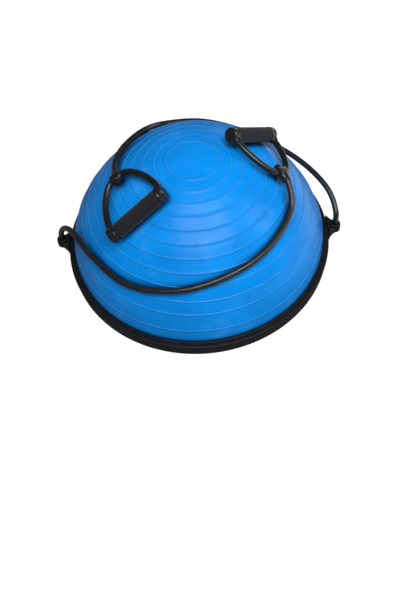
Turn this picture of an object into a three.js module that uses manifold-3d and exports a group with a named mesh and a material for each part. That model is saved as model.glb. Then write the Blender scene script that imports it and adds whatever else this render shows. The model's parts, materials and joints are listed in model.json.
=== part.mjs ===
// Balance dome trainer: an air-filled half ball clamped into a round base, with two elastic tubes and their
// handles.
// Millimetres, +Z up. The origin is on the floor under the middle, and +X runs through the right-hand anchor.
import * as THREE from "three";
import { mergeVertices } from "three/addons/utils/BufferGeometryUtils.js";
import Module from "manifold-3d";

const wasm = await Module();
wasm.setup();

// Play between pieces.
const GAP = 0.3; // pieces that rest on each other
const RUN = 0.05; // radial play of a fit that turns or slides

// Base: a shallow tray with a leaning wall, a floor part-way up and stiffening ribs underneath.
const BASE_RADIUS = 290;
const WALL_LEAN = 2;
const BASE_LOW = 3;
const WALL_TOP = 27;
const WALL_THICK = 3.2;
const FLOOR_LOW = 15;
const FLOOR_TOP = 18;
const RIB_LOW = 5;
const RIB_THICK = 3;
const SPOKES = 16;
const RING_RIBS = [36, 110, 185];
const AROUND = 52; // sides of every large turned piece, so that their facets line up

// Clamp ring on top of the tray wall.
const RIM_TOP = 32;
const LEG_IN = 272.5;
const LEG_OUT = 283.6;
const LIP_IN = 264.5;
const LIP_LOW = 22.3;
const LIP_TOP = 25;

// Bladder: a membrane with a flat floor, a bead under the clamp ring and raised rings round the dome.
const DOME_RADIUS = 276.6;
const DOME_LOW = 36.4;
const DOME_TOP = 273;
const DOME_FULLNESS = 1.223; // 1 would make the section an ellipse
const MEMBRANE = 2.8;
const BEAD_OUT = LEG_IN - 0.4;
const RING_FIRST = 53.3; // the raised rings, measured along the dome from its top
const RING_STEP = 24.9;
const RING_GROWTH = 0.22;
const RING_COUNT = 11;
const RING_LAST = 364.4;
const RING_RISE = 0.9;
const RING_HALF = 1.6;

// Fasteners and feet.
const SCREW_SHANK = 2;
const SCREW_HEAD = 3.8;
const SCREW_HEAD_HIGH = 2.4;
const SCREW_COUNT = 8;
const SCREW_CIRCLE = 276;
const SCREW_TOP = 29;
const BOSS_LOW = 9;
const BOSS_RADIUS = 6;
const FOOT_COUNT = 8;
const FOOT_CIRCLE = 245;
const FOOT_RADIUS = 13;
const FOOT_STEM = 3;
const FOOT_STEM_TOP = 9;
const ABOVE_BASE = 50; // a height clear of everything on the base

// Anchors: triangular ears on the base wall, each with a round eye that the tube comes up through.
const EYE_CENTRE = 306;
const EYE_RADIUS = 12.5;
const EYE_LOW = 23;
const EYE_TOP = 44;
const EAR_LOW = 23;
const EAR_TOP = 36;
const EAR_HALF = 40;
const EAR_ROOT = 270; // its plan starts here, and the base is then cut out of it
const EAR_FLANK = 0.52; // how full its hollow flanks are: 1 would carry them out square
const PLATE_LOW = 6.5; // a plate below the ear lies against the base wall and takes the screws
const PLATE_HALF = 18;
const PLATE_OUT = 294.5;
const ANCHOR_SCREW_TURN = THREE.MathUtils.degToRad(2.6);
const ANCHOR_SCREW_HIGH = 11;
const ANCHOR_SCREW_FROM = 291.8; // the radius that the screw's seat and tip are measured from
const ANCHOR_SCREW_SEAT = -7;
const ANCHOR_SCREW_TIP = 1.4;
const STOPPER_RADIUS = 9.2;
const STOPPER_TOP = 35;
const STOPPER_LOW = EYE_LOW + 0.6;
const STOPPER_FLOOR = EYE_LOW + 3;

// Tubes and handles.
const TUBE = 6.25;
const ROOT_TOP = EYE_TOP + 0.4;
const BEND_HIGH = ROOT_TOP + GAP + TUBE; // the height at which a tube turns over its anchor
const PIN = 6.6; // the loop is a rod, and its straight middle is the pin that the yoke turns on
const PIN_HALF = 12;
const LOOP_HALF = 62;
const LOOP_DEEP = 104;
const LOOP_SQUARE = 0.5; // how far out its lower corners are drawn: more makes the loop squarer
const LOOP_BOW = 1.08; // how far its arms bow out beyond their ends
const LOOP_END = 5; // the arms stop this far short of the grip's centre line
const YOKE_RADIUS = 11.6;
const NECK_LONG = 23;
const NECK_RADIUS = 9.4;
const TUBE_SEAT = 13;
const STUB_LONG = 14;
const STUB_RADIUS = 9;
const END_PLUG_STEM = 4;
const END_PLUG_HEAD = 7.4;
const END_PLUG_DEEP = 8.5; // its stem stops this far from the pin's centre line
const CAP_RADIUS = 16.6;
const CAP_IN = 53.5;
const CAP_OUT = 70.5;
const COLLAR = 8.5; // where an arm enters its cap
const SPIGOT = 7;
const SPIGOT_IN = 44;
const CORE_RADIUS = 9.2;
const SLEEVE_RADIUS = 16.2;

// Inflation valve, low on the back of the dome.
const VALVE_HIGH = 86;
const VALVE_BORE = 4;
const VALVE_NECK = 8;
const VALVE_FLANGE = 12;
const VALVE_FACE = 2.4;
const VALVE_ROOM = 4 * GAP; // between a flat flange and the curved membrane
const VALVE_LIP = 1.6;
const VALVE_PLUG_DEEP = 9;
const VALVE_PLUG_HEAD = 7;
const VALVE_TAB = 4.5;

// Each side: where its anchor is, the points its tube passes through as [azimuth, radius, height],
// and how its handle lies: the pin's middle, the way the grip runs and the way from pin to grip.
const SIDES = {
  front: {
    anchor: 180,
    path: [
      [180.5, 302.5, 67],
      [182, 295, 86],
      [184, 286, 102],
      [190, 268, 121.5],
      [211, 249, 140],
      [236, 246, 143],
      [261, 236, 157],
      [287, 223, 174],
      [310, 215, 185],
      [339, 206, 195],
    ],
    pin: [175.9, -10.6, 229.1],
    along: [65, 53, -54],
    towards: [-47, 86, 20],
    dip: 0,
  },
  back: {
    anchor: 0,
    path: [
      [1.5, 307, 65],
      [8, 303, 85],
      [16, 292, 98],
      [34, 271.5, 107.5],
      [64, 260, 117.5],
      [85, 248, 142],
      [107, 229, 167],
      [123, 192.7, 204.8],
      [136, 179, 217],
      [151, 172, 224],
      [166, 165, 230],
    ],
    pin: [-151.9, -17.6, 246.9],
    along: [79, 35, 50],
    towards: [42, -91, -2],
    dip: 26,
  },
};

const LOOKS = {
  base: { color: 0x1e1e20, roughness: 0.62 },
  rim: { color: 0x242426, roughness: 0.5 },
  dome: { color: 0x0b7fe0, roughness: 0.28 },
  rubber: { color: 0x18181a, roughness: 0.7 },
  tube: { color: 0x2a2a2e, roughness: 0.42 },
  handle: { color: 0x222224, roughness: 0.4 },
  foam: { color: 0x1b1b1e, roughness: 0.95 },
  valve: { color: 0xe9ecef, roughness: 0.4 },
  steel: { color: 0x8a8d92, roughness: 0.3, metalness: 0.9 },
};

const trainer = new THREE.Group();
trainer.name = "balance_dome_trainer";

function addPiece(name, solid, look) {
  const { numProp, vertProperties, triVerts } = solid.getMesh();
  const positions = new Float32Array((vertProperties.length / numProp) * 3);
  for (let i = 0; i * 3 < positions.length; i++) {
    positions.set(vertProperties.subarray(i * numProp, i * numProp + 3), i * 3);
  }
  const geometry = new THREE.BufferGeometry();
  geometry.setAttribute("position", new THREE.BufferAttribute(positions, 3));
  geometry.setIndex(new THREE.BufferAttribute(new Uint32Array(triVerts), 1));
  geometry.computeVertexNormals();
  const mesh = new THREE.Mesh(geometry, new THREE.MeshStandardMaterial(LOOKS[look]));
  mesh.name = name;
  trainer.add(mesh);
}

function solidOf(geometry, place) {
  const bare = geometry.clone();
  bare.deleteAttribute("normal");
  bare.deleteAttribute("uv");
  if (place) bare.applyMatrix4(place);
  const merged = mergeVertices(bare, 1e-4);
  return new wasm.Manifold(
    new wasm.Mesh({
      numProp: 3,
      vertProperties: merged.attributes.position.array,
      triVerts: new Uint32Array(merged.index.array),
    }),
  );
}

function cut(solid, ...tools) {
  return tools.reduce((left, tool) => left.subtract(tool), solid);
}

function join(solid, ...others) {
  return others.reduce((sum, other) => sum.add(other), solid);
}

// A turned piece about Z. The profile is [radius, height] pairs, up the outside and down the inside.
function turned(profile, sides, place) {
  const points = profile.map(([radius, height]) => new THREE.Vector2(radius, height));
  return solidOf(new THREE.LatheGeometry(points, sides).rotateX(Math.PI / 2), place);
}

function ringTurned(profile, sides, place) {
  return turned([...profile, profile[0]], sides, place);
}

function cylinder(radius, low, high, sides, place) {
  const profile = [[0, low], [radius, low], [radius, high], [0, high]];
  return turned(profile, sides, place);
}

// The radius of a many-sided bore whose flats stay clear of a shaft of the given radius.
function boreFor(shaft, play, sides) {
  return (shaft + play) / Math.cos(Math.PI / sides);
}

function turnZ(angle) {
  return new THREE.Matrix4().makeRotationZ(angle);
}

function moved(x, y, z) {
  return new THREE.Matrix4().makeTranslation(x, y, z);
}

function polar(azimuth, radius, height) {
  const angle = THREE.MathUtils.degToRad(azimuth);
  return new THREE.Vector3(radius * Math.cos(angle), radius * Math.sin(angle), height);
}

// A rod of round section along a line of points, with flat ends.
function rod(points, radius, sides) {
  const last = points.length - 1;
  const tangents = points.map((_, i) =>
    new THREE.Vector3().subVectors(points[Math.min(i + 1, last)], points[Math.max(i - 1, 0)]).normalize(),
  );
  let across = new THREE.Vector3(0, 1, 0).cross(tangents[0]);
  if (across.length() < 0.1) across = new THREE.Vector3(1, 0, 0).cross(tangents[0]);
  const positions = [];
  for (const [i, point] of points.entries()) {
    across.addScaledVector(tangents[i], -across.dot(tangents[i])).normalize();
    const up = new THREE.Vector3().crossVectors(tangents[i], across);
    for (let k = 0; k < sides; k++) {
      const angle = (2 * Math.PI * k) / sides;
      const spot = point.clone().addScaledVector(across, radius * Math.cos(angle));
      positions.push(...spot.addScaledVector(up, radius * Math.sin(angle)).toArray());
    }
  }
  positions.push(...points[0].toArray(), ...points[last].toArray());
  const index = [];
  const startCentre = points.length * sides;
  for (let k = 0; k < sides; k++) {
    const next = (k + 1) % sides;
    for (let i = 0; i < last; i++) {
      const here = i * sides;
      const ahead = here + sides;
      index.push(here + k, here + next, ahead + next, here + k, ahead + next, ahead + k);
    }
    index.push(startCentre, next, k, startCentre + 1, last * sides + k, last * sides + next);
  }
  const geometry = new THREE.BufferGeometry();
  geometry.setAttribute("position", new THREE.BufferAttribute(new Float32Array(positions), 3));
  geometry.setIndex(index);
  return solidOf(geometry);
}

function wallRadius(height) {
  return THREE.MathUtils.mapLinear(height, BASE_LOW, WALL_TOP, BASE_RADIUS - WALL_LEAN, BASE_RADIUS);
}

// The dome's section: t runs from 0 at the widest circle to a quarter turn at the top.
function domeSection(t) {
  const height = DOME_LOW + (DOME_TOP - DOME_LOW) * Math.sin(t) ** DOME_FULLNESS;
  return new THREE.Vector2(DOME_RADIUS * Math.cos(t), height);
}

// The point on the dome's section at a distance from its top along the surface, moved out by a step.
function domeAt(arc, out = 0) {
  const steps = 2000;
  let before = domeSection(Math.PI / 2);
  let run = 0;
  for (let i = 1; i <= steps; i++) {
    const next = domeSection((Math.PI / 2) * (1 - i / steps));
    const stride = next.distanceTo(before);
    if (run + stride >= arc || i === steps) {
      const outward = new THREE.Vector2(before.y - next.y, next.x - before.x).normalize();
      const spot = before.clone().lerp(next, Math.min(1, (arc - run) / stride));
      return spot.addScaledVector(outward, out).toArray();
    }
    run += stride;
    before = next;
  }
}

function ringArcs() {
  const arcs = Array.from({ length: RING_COUNT }, (_, k) => RING_FIRST + k * RING_STEP + k * k * RING_GROWTH);
  return [...arcs, RING_LAST];
}

function makeTray() {
  const shell = turned(
    [
      [0, FLOOR_LOW],
      [wallRadius(FLOOR_LOW) - WALL_THICK, FLOOR_LOW],
      [wallRadius(BASE_LOW) - WALL_THICK, BASE_LOW],
      [wallRadius(BASE_LOW), BASE_LOW],
      [wallRadius(WALL_TOP), WALL_TOP],
      [wallRadius(WALL_TOP) - WALL_THICK, WALL_TOP],
      [wallRadius(FLOOR_TOP) - WALL_THICK, FLOOR_TOP],
      [0, FLOOR_TOP],
    ],
    AROUND,
  );
  const inFloor = (FLOOR_LOW + FLOOR_TOP) / 2;
  const ribLong = wallRadius(RIB_LOW) - RING_RIBS[0] - 1;
  const rib = new THREE.BoxGeometry(ribLong, RIB_THICK, inFloor - RIB_LOW);
  const ribMiddle = moved(RING_RIBS[0] + ribLong / 2, 0, (inFloor + RIB_LOW) / 2);
  const spokes = [];
  for (let k = 0; k < SPOKES; k++) {
    spokes.push(solidOf(rib, turnZ((2 * Math.PI * (k + 0.5)) / SPOKES).multiply(ribMiddle)));
  }
  const rings = RING_RIBS.map((radius) =>
    ringTurned(
      [[radius, RIB_LOW], [radius + RIB_THICK, RIB_LOW], [radius + RIB_THICK, inFloor], [radius, inFloor]],
      AROUND / 2,
    ),
  );
  const bosses = aroundBase(SCREW_COUNT, 0, SCREW_CIRCLE).map((spot) =>
    cylinder(BOSS_RADIUS, BOSS_LOW, inFloor, 8, spot),
  );
  const pads = aroundBase(FOOT_COUNT, 0.5, FOOT_CIRCLE).map((spot) =>
    cylinder(FOOT_RADIUS + 1.5, BASE_LOW + 1, inFloor, 12, spot),
  );
  const screwHoles = aroundBase(SCREW_COUNT, 0, SCREW_CIRCLE).map((spot) =>
    cylinder(SCREW_SHANK + GAP, 0, FLOOR_TOP + 1, 8, spot),
  );
  const stemHoles = aroundBase(FOOT_COUNT, 0.5, FOOT_CIRCLE).map((spot) =>
    cylinder(FOOT_STEM + GAP, 0, FOOT_STEM_TOP + GAP, 8, spot),
  );
  const wallInside = wallRadius(RIB_LOW) - WALL_THICK - ANCHOR_SCREW_FROM;
  const headTop = ANCHOR_SCREW_SEAT - 2 * SCREW_HEAD_HIGH;
  const wallHoles = anchorScrewPlaces().map((place) =>
    cylinder(SCREW_SHANK + GAP, headTop, ANCHOR_SCREW_TIP, 8, place),
  );
  const headRoom = anchorScrewPlaces().map((place) =>
    cylinder(SCREW_HEAD + 1, headTop, wallInside, 8, place),
  );
  const body = join(shell, ...spokes, ...rings, ...bosses, ...pads);
  return cut(body, ...screwHoles, ...stemHoles, ...wallHoles, ...headRoom);
}

// Places spread evenly round the base, the first one turned by a share of the angle between two of them.
function aroundBase(count, offset, radius) {
  return Array.from({ length: count }, (_, k) =>
    turnZ((2 * Math.PI * (k + offset)) / count).multiply(moved(radius, 0, 0)),
  );
}

// Where the four anchor screws are, with +Z along each screw and outwards.
function anchorScrewPlaces() {
  return [0, Math.PI].flatMap((side) =>
    [-1, 1].map((way) =>
      turnZ(side + way * ANCHOR_SCREW_TURN)
        .multiply(moved(ANCHOR_SCREW_FROM, 0, ANCHOR_SCREW_HIGH))
        .multiply(new THREE.Matrix4().makeRotationY(Math.PI / 2)),
    ),
  );
}

function makeRimRing() {
  const flangeLow = WALL_TOP + GAP;
  const ring = ringTurned(
    [
      [LIP_IN, LIP_LOW],
      [LEG_IN, LIP_LOW],
      [LEG_IN, FLOOR_TOP + GAP],
      [LEG_OUT, FLOOR_TOP + GAP],
      [LEG_OUT, flangeLow],
      [BASE_RADIUS, flangeLow],
      [BASE_RADIUS + 0.4, flangeLow + 2],
      [BASE_RADIUS - 0.8, RIM_TOP - 0.7],
      [BASE_RADIUS - 3, RIM_TOP],
      [LEG_IN + 2.6, RIM_TOP],
      [LEG_IN + 0.9, RIM_TOP - 0.8],
      [LIP_IN, LIP_TOP],
    ],
    AROUND,
  );
  const holes = aroundBase(SCREW_COUNT, 0, SCREW_CIRCLE).map((spot) =>
    cylinder(SCREW_SHANK + GAP, 0, SCREW_TOP + GAP, 8, spot),
  );
  return cut(ring, ...holes);
}

function makeBladder() {
  const outside = [
    [0, FLOOR_TOP + GAP],
    [BEAD_OUT, FLOOR_TOP + GAP],
    [BEAD_OUT, LIP_LOW - GAP],
    [LIP_IN - 0.5, LIP_LOW - GAP],
    [LIP_IN - 0.5, LIP_TOP],
    [LEG_IN - 0.3, RIM_TOP - 0.6],
    [DOME_RADIUS - 1, DOME_LOW - 1.6],
  ];
  outside.push(domeAt(1e4));
  for (const arc of ringArcs().reverse()) {
    outside.push(domeAt(arc + RING_HALF), domeAt(arc, RING_RISE), domeAt(arc - RING_HALF));
  }
  outside.push(domeAt(RING_FIRST / 2), [0, DOME_TOP]);
  const inside = [
    [0, FLOOR_TOP + MEMBRANE],
    [LIP_IN - 5, FLOOR_TOP + MEMBRANE],
    [LIP_IN - 3.5, LIP_TOP],
    [LEG_IN - 3.2, RIM_TOP],
    domeAt(1e4, -MEMBRANE),
  ];
  for (let arc = RING_LAST; arc > RING_STEP; arc -= 1.5 * RING_STEP) inside.push(domeAt(arc, -MEMBRANE));
  inside.push([0, DOME_TOP - MEMBRANE]);
  const hole = cylinder(VALVE_NECK + GAP, -12, 12, 20, valvePlace());
  return cut(turned(outside, AROUND), turned(inside, AROUND), hole);
}

// The valve's place on the dome: +Z points straight out of the surface.
function valvePlace() {
  const [radius, height] = domeAt(valveArc());
  const [radiusOut, heightOut] = domeAt(valveArc(), 1);
  const outward = new THREE.Vector3(0, radiusOut - radius, heightOut - height).normalize();
  const turn = new THREE.Quaternion().setFromUnitVectors(new THREE.Vector3(0, 0, 1), outward);
  const spot = new THREE.Vector3(0, radius, height);
  return new THREE.Matrix4().compose(spot, turn, new THREE.Vector3(1, 1, 1));
}

function valveArc() {
  let arc = RING_LAST;
  while (domeAt(arc)[1] < VALVE_HIGH) arc -= 0.5;
  return arc;
}

function makeValveSeat() {
  const bore = boreFor(VALVE_BORE, RUN, 20);
  const under = -MEMBRANE - VALVE_ROOM - GAP;
  return ringTurned(
    [
      [bore, under - VALVE_LIP],
      [VALVE_FLANGE - 1.5, under - VALVE_LIP],
      [VALVE_FLANGE - 1.5, under],
      [VALVE_NECK, under],
      [VALVE_NECK, VALVE_ROOM],
      [VALVE_FLANGE, VALVE_ROOM],
      [VALVE_FLANGE - 1, VALVE_FACE],
      [bore, VALVE_FACE],
    ],
    20,
    valvePlace(),
  );
}

function makeValvePlug() {
  const headLow = VALVE_FACE + GAP;
  const headHigh = VALVE_FACE + 2.4;
  const upright = new THREE.Matrix4().makeRotationX(Math.PI / 2);
  const tab = cylinder(VALVE_TAB, -1, 1, 16, moved(0, 0, headHigh + VALVE_TAB / 2).multiply(upright));
  const body = turned(
    [
      [0, -VALVE_PLUG_DEEP],
      [VALVE_BORE - 1, -VALVE_PLUG_DEEP],
      [VALVE_BORE, 1.5 - VALVE_PLUG_DEEP],
      [VALVE_BORE, headLow],
      [VALVE_PLUG_HEAD, headLow],
      [VALVE_PLUG_HEAD, headHigh - 0.8],
      [VALVE_PLUG_HEAD - 1, headHigh],
      [0, headHigh],
    ],
    20,
  );
  return join(body, tab).transform(valvePlace().toArray());
}

// A pan-head screw along +Z with the underside of its head at a height.
function screw(seat, tip, place) {
  return turned(
    [
      [0, seat - SCREW_HEAD_HIGH],
      [SCREW_HEAD - 1, seat - SCREW_HEAD_HIGH],
      [SCREW_HEAD, seat - 1],
      [SCREW_HEAD, seat],
      [SCREW_SHANK, seat],
      [SCREW_SHANK, tip],
      [0, tip],
    ],
    8,
    place,
  );
}

function foot(place) {
  const top = BASE_LOW + 1 - GAP;
  return turned(
    [[0, 0], [FOOT_RADIUS - 1.2, 0], [FOOT_RADIUS, 1.2], [FOOT_RADIUS, top], [FOOT_STEM, top],
      [FOOT_STEM, FOOT_STEM_TOP], [0, FOOT_STEM_TOP]],
    12,
    place,
  );
}

// The ear's plan for the anchor on +X: a straight root inside the wall, hollow flanks and a round end.
function makeAnchor(azimuth) {
  const plan = new THREE.Shape();
  plan.moveTo(EAR_ROOT, -EAR_HALF);
  plan.lineTo(BASE_RADIUS - 4, -EAR_HALF);
  plan.quadraticCurveTo(BASE_RADIUS + 5, -EAR_FLANK * EAR_HALF, EYE_CENTRE, -EYE_RADIUS + 0.5);
  plan.lineTo(EYE_CENTRE, EYE_RADIUS - 0.5);
  plan.quadraticCurveTo(BASE_RADIUS + 5, EAR_FLANK * EAR_HALF, BASE_RADIUS - 4, EAR_HALF);
  plan.lineTo(EAR_ROOT, EAR_HALF);
  const options = { depth: EAR_TOP - EAR_LOW, bevelEnabled: false, curveSegments: 8 };
  const ear = solidOf(new THREE.ExtrudeGeometry(plan, options), moved(0, 0, EAR_LOW));
  const plateTop = (EAR_LOW + EAR_TOP) / 2;
  const plate = solidOf(
    new THREE.BoxGeometry(PLATE_OUT - EAR_ROOT, 2 * PLATE_HALF, plateTop - PLATE_LOW),
    moved((PLATE_OUT + EAR_ROOT) / 2, 0, (plateTop + PLATE_LOW) / 2),
  );
  const eye = turned(
    [[0, EYE_LOW], [EYE_RADIUS - 1, EYE_LOW], [EYE_RADIUS, EYE_LOW + 1], [EYE_RADIUS, EYE_TOP - 2],
      [EYE_RADIUS - 2, EYE_TOP], [0, EYE_TOP]],
    28,
    moved(EYE_CENTRE, 0, 0),
  );
  const base = turned(
    [[0, 0], [wallRadius(0) + GAP, 0], [wallRadius(ABOVE_BASE) + GAP, ABOVE_BASE], [0, ABOVE_BASE]],
    AROUND,
  );
  const rim = cylinder(BASE_RADIUS + 1, WALL_TOP - GAP, ABOVE_BASE, AROUND);
  const bore = cylinder(TUBE + GAP, 0, ABOVE_BASE, 20, moved(EYE_CENTRE, 0, 0));
  const recess = cylinder(STOPPER_RADIUS + GAP, 0, STOPPER_TOP + GAP, 24, moved(EYE_CENTRE, 0, 0));
  const screwHoles = anchorScrewPlaces()
    .slice(0, 2)
    .map((place) => cylinder(SCREW_SHANK + GAP, ANCHOR_SCREW_SEAT, ANCHOR_SCREW_TIP + GAP, 8, place));
  const anchor = cut(join(ear, plate, eye), base, rim, bore, recess, ...screwHoles);
  return anchor.transform(turnZ(THREE.MathUtils.degToRad(azimuth)).toArray());
}

function makeStopper(azimuth) {
  const bore = TUBE + GAP;
  const profile = [
    [0, STOPPER_LOW],
    [STOPPER_RADIUS - 2, STOPPER_LOW],
    [STOPPER_RADIUS, STOPPER_LOW + 2],
    [STOPPER_RADIUS, STOPPER_TOP - 1.5],
    [STOPPER_RADIUS - 1.5, STOPPER_TOP],
    [bore, STOPPER_TOP],
    [bore, STOPPER_FLOOR],
    [0, STOPPER_FLOOR],
  ];
  return turned(profile, 20, new THREE.Matrix4().setPosition(polar(azimuth, EYE_CENTRE, 0)));
}

// A handle's own frame: X along the pin and grip, Y from pin to grip, Z up off the dome, origin mid-pin.
function handlePlace(side) {
  const along = new THREE.Vector3(...side.along).normalize();
  const towards = new THREE.Vector3(...side.towards);
  towards.addScaledVector(along, -along.dot(towards)).normalize();
  const up = new THREE.Vector3().crossVectors(along, towards);
  if (up.z < 0) {
    along.negate();
    up.negate();
  }
  return new THREE.Matrix4().makeBasis(along, towards, up).setPosition(...side.pin);
}

// The yoke's own frame: X along the pin, Z from the pin down its neck to the tube.
function yokePlace(side) {
  const lean = Math.PI / 2 + THREE.MathUtils.degToRad(side.dip);
  return handlePlace(side).multiply(new THREE.Matrix4().makeRotationX(lean));
}

function tubePath(side) {
  const bend = polar(side.anchor, EYE_CENTRE, BEND_HIGH);
  const neck = (reach) => new THREE.Vector3(0, 0, reach).applyMatrix4(yokePlace(side));
  const seat = TUBE_SEAT + GAP;
  const knots = [
    bend,
    ...side.path.map(([azimuth, radius, height]) => polar(azimuth, radius, height)),
    neck(NECK_LONG + 2),
    neck(NECK_LONG - 6),
    neck(seat),
  ];
  const curve = new THREE.CatmullRomCurve3(knots, false, "centripetal");
  const mouth = knots.at(-3);
  const bends = curve.getSpacedPoints(48).filter((point) => point.distanceTo(knots.at(-1)) > NECK_LONG);
  return [...bends, mouth, ...knots.slice(-2)];
}

function makeTube(side) {
  const path = tubePath(side);
  const ball = solidOf(new THREE.SphereGeometry(TUBE, 10, 6), new THREE.Matrix4().setPosition(path[0]));
  return join(rod(path, TUBE, 10), ball);
}

function makeTubeRoot(azimuth) {
  const place = new THREE.Matrix4().setPosition(polar(azimuth, EYE_CENTRE, 0));
  return cylinder(TUBE, STOPPER_FLOOR + GAP, ROOT_TOP, 12, place);
}

function makeYoke(side) {
  const alongPin = new THREE.Matrix4().makeRotationY(Math.PI / 2);
  const half = PIN_HALF - GAP;
  const barrel = turned(
    [[0, -half], [YOKE_RADIUS - 1.5, -half], [YOKE_RADIUS, -half + 1.5], [YOKE_RADIUS, half - 1.5],
      [YOKE_RADIUS - 1.5, half], [0, half]],
    24,
    alongPin,
  );
  const neck = turned(
    [[0, 0], [NECK_RADIUS + 1, 0], [NECK_RADIUS, NECK_LONG - 2], [NECK_RADIUS - 1, NECK_LONG],
      [0, NECK_LONG]],
    20,
  );
  const stub = turned([[0, -STUB_LONG], [STUB_RADIUS - 0.6, -STUB_LONG], [STUB_RADIUS, 0], [0, 0]], 20);
  const pinBore = cylinder(boreFor(PIN, RUN, 24), -PIN_HALF - 1, PIN_HALF + 1, 24, alongPin);
  const seat = cylinder(TUBE + GAP, TUBE_SEAT, NECK_LONG + 1, 16);
  const plugHole = cylinder(END_PLUG_STEM + GAP, -STUB_LONG - 1, -END_PLUG_DEEP, 16);
  return cut(join(barrel, neck, stub), pinBore, seat, plugHole).transform(yokePlace(side).toArray());
}

function makeEndPlug(side) {
  const low = -STUB_LONG - GAP;
  const tip = -END_PLUG_DEEP - GAP;
  const plug = turned(
    [[0, low - 3.4], [END_PLUG_STEM + 0.5, low - 3], [END_PLUG_HEAD, low - 1.4], [END_PLUG_HEAD, low],
      [END_PLUG_STEM, low], [END_PLUG_STEM, tip], [0, tip]],
    16,
  );
  return plug.transform(yokePlace(side).toArray());
}

// The loop's centre line in the handle's frame: a straight pin, then an arm curving up into each cap.
function loopPath(short) {
  const arm = new THREE.CubicBezierCurve3(
    new THREE.Vector3(PIN_HALF + 2, 0, 0),
    new THREE.Vector3(LOOP_HALF * LOOP_SQUARE, 0, 0),
    new THREE.Vector3(LOOP_HALF * LOOP_BOW, LOOP_DEEP / 2, 0),
    new THREE.Vector3(LOOP_HALF, LOOP_DEEP - LOOP_END - short, 0),
  );
  const right = [new THREE.Vector3(PIN_HALF, 0, 0), ...arm.getPoints(10)];
  const left = right.map(({ x, y, z }) => new THREE.Vector3(-x, y, z)).reverse();
  return [...left, ...right];
}

function makeLoop(side) {
  return rod(loopPath(GAP), PIN, 14).transform(handlePlace(side).toArray());
}

function makeCap(side, way) {
  const place = new THREE.Matrix4()
    .makeTranslation(0, LOOP_DEEP, 0)
    .multiply(new THREE.Matrix4().makeRotationY((way * Math.PI) / 2));
  const body = turned(
    [[0, SPIGOT_IN], [SPIGOT, SPIGOT_IN], [SPIGOT, CAP_IN], [CAP_RADIUS, CAP_IN], [CAP_RADIUS, CAP_OUT - 2],
      [CAP_RADIUS - 2, CAP_OUT], [0, CAP_OUT]],
    24,
    place,
  );
  const collar = cylinder(COLLAR, -CAP_RADIUS - 3, -CAP_RADIUS / 2, 20, armPlace(way));
  const socket = rod(loopPath(0), PIN + GAP, 14);
  return cut(join(body, collar), socket).transform(handlePlace(side).toArray());
}

// The end of an arm inside its cap: +Z runs from pin to grip, and the origin is on the grip's centre line.
function armPlace(way) {
  return moved(way * LOOP_HALF, LOOP_DEEP, 0).multiply(new THREE.Matrix4().makeRotationX(-Math.PI / 2));
}

// A sleeve round the grip's centre line, reaching the same distance each way.
function gripSleeve(side, inner, outer, half, round) {
  const place = handlePlace(side)
    .multiply(moved(0, LOOP_DEEP, 0))
    .multiply(new THREE.Matrix4().makeRotationY(Math.PI / 2));
  return ringTurned(
    [[inner, -half], [outer - round, -half], [outer, round - half], [outer, half - round],
      [outer - round, half], [inner, half]],
    24,
    place,
  );
}

function addBase() {
  addPiece("base_tray", makeTray(), "base");
  addPiece("rim_ring", makeRimRing(), "rim");
  addPiece("dome_bladder", makeBladder(), "dome");
  addPiece("valve_seat", makeValveSeat(), "valve");
  addPiece("valve_plug", makeValvePlug(), "valve");
  for (const [k, place] of aroundBase(SCREW_COUNT, 0, SCREW_CIRCLE).entries()) {
    addPiece(`rim_screw_${k + 1}`, screw(BOSS_LOW - GAP, SCREW_TOP, place), "steel");
  }
  for (const [k, place] of aroundBase(FOOT_COUNT, 0.5, FOOT_CIRCLE).entries()) {
    addPiece(`foot_${k + 1}`, foot(place), "rubber");
  }
  for (const [k, place] of anchorScrewPlaces().entries()) {
    addPiece(`anchor_screw_${k + 1}`, screw(ANCHOR_SCREW_SEAT, ANCHOR_SCREW_TIP, place), "steel");
  }
}

function addSide(name, side) {
  addPiece(`${name}_anchor`, makeAnchor(side.anchor), "base");
  addPiece(`${name}_stopper`, makeStopper(side.anchor), "rubber");
  addPiece(`${name}_tube_root`, makeTubeRoot(side.anchor), "tube");
  addPiece(`${name}_tube`, makeTube(side), "tube");
  addPiece(`${name}_yoke`, makeYoke(side), "handle");
  addPiece(`${name}_end_plug`, makeEndPlug(side), "rubber");
  addPiece(`${name}_loop`, makeLoop(side), "handle");
  addPiece(`${name}_cap_1`, makeCap(side, -1), "handle");
  addPiece(`${name}_cap_2`, makeCap(side, 1), "handle");
  const bore = boreFor(SPIGOT, RUN, 24);
  addPiece(`${name}_grip_core`, gripSleeve(side, bore, CORE_RADIUS, CAP_IN - GAP, 0.2), "handle");
  const sleeve = gripSleeve(side, CORE_RADIUS + GAP, SLEEVE_RADIUS, CAP_IN - 1, 1.5);
  addPiece(`${name}_grip_sleeve`, sleeve, "foam");
}

addBase();
for (const [name, side] of Object.entries(SIDES)) addSide(name, side);

export default trainer;
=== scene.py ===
"""Looks of the balance dome trainer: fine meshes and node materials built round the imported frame.

Metres, +Z up, in the frame's own axes. Places and main sizes are read from the frame's nodes and joints.
"""

import json
import math

import bpy
import numpy as np
from mathutils import Matrix, Vector, noise


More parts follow.
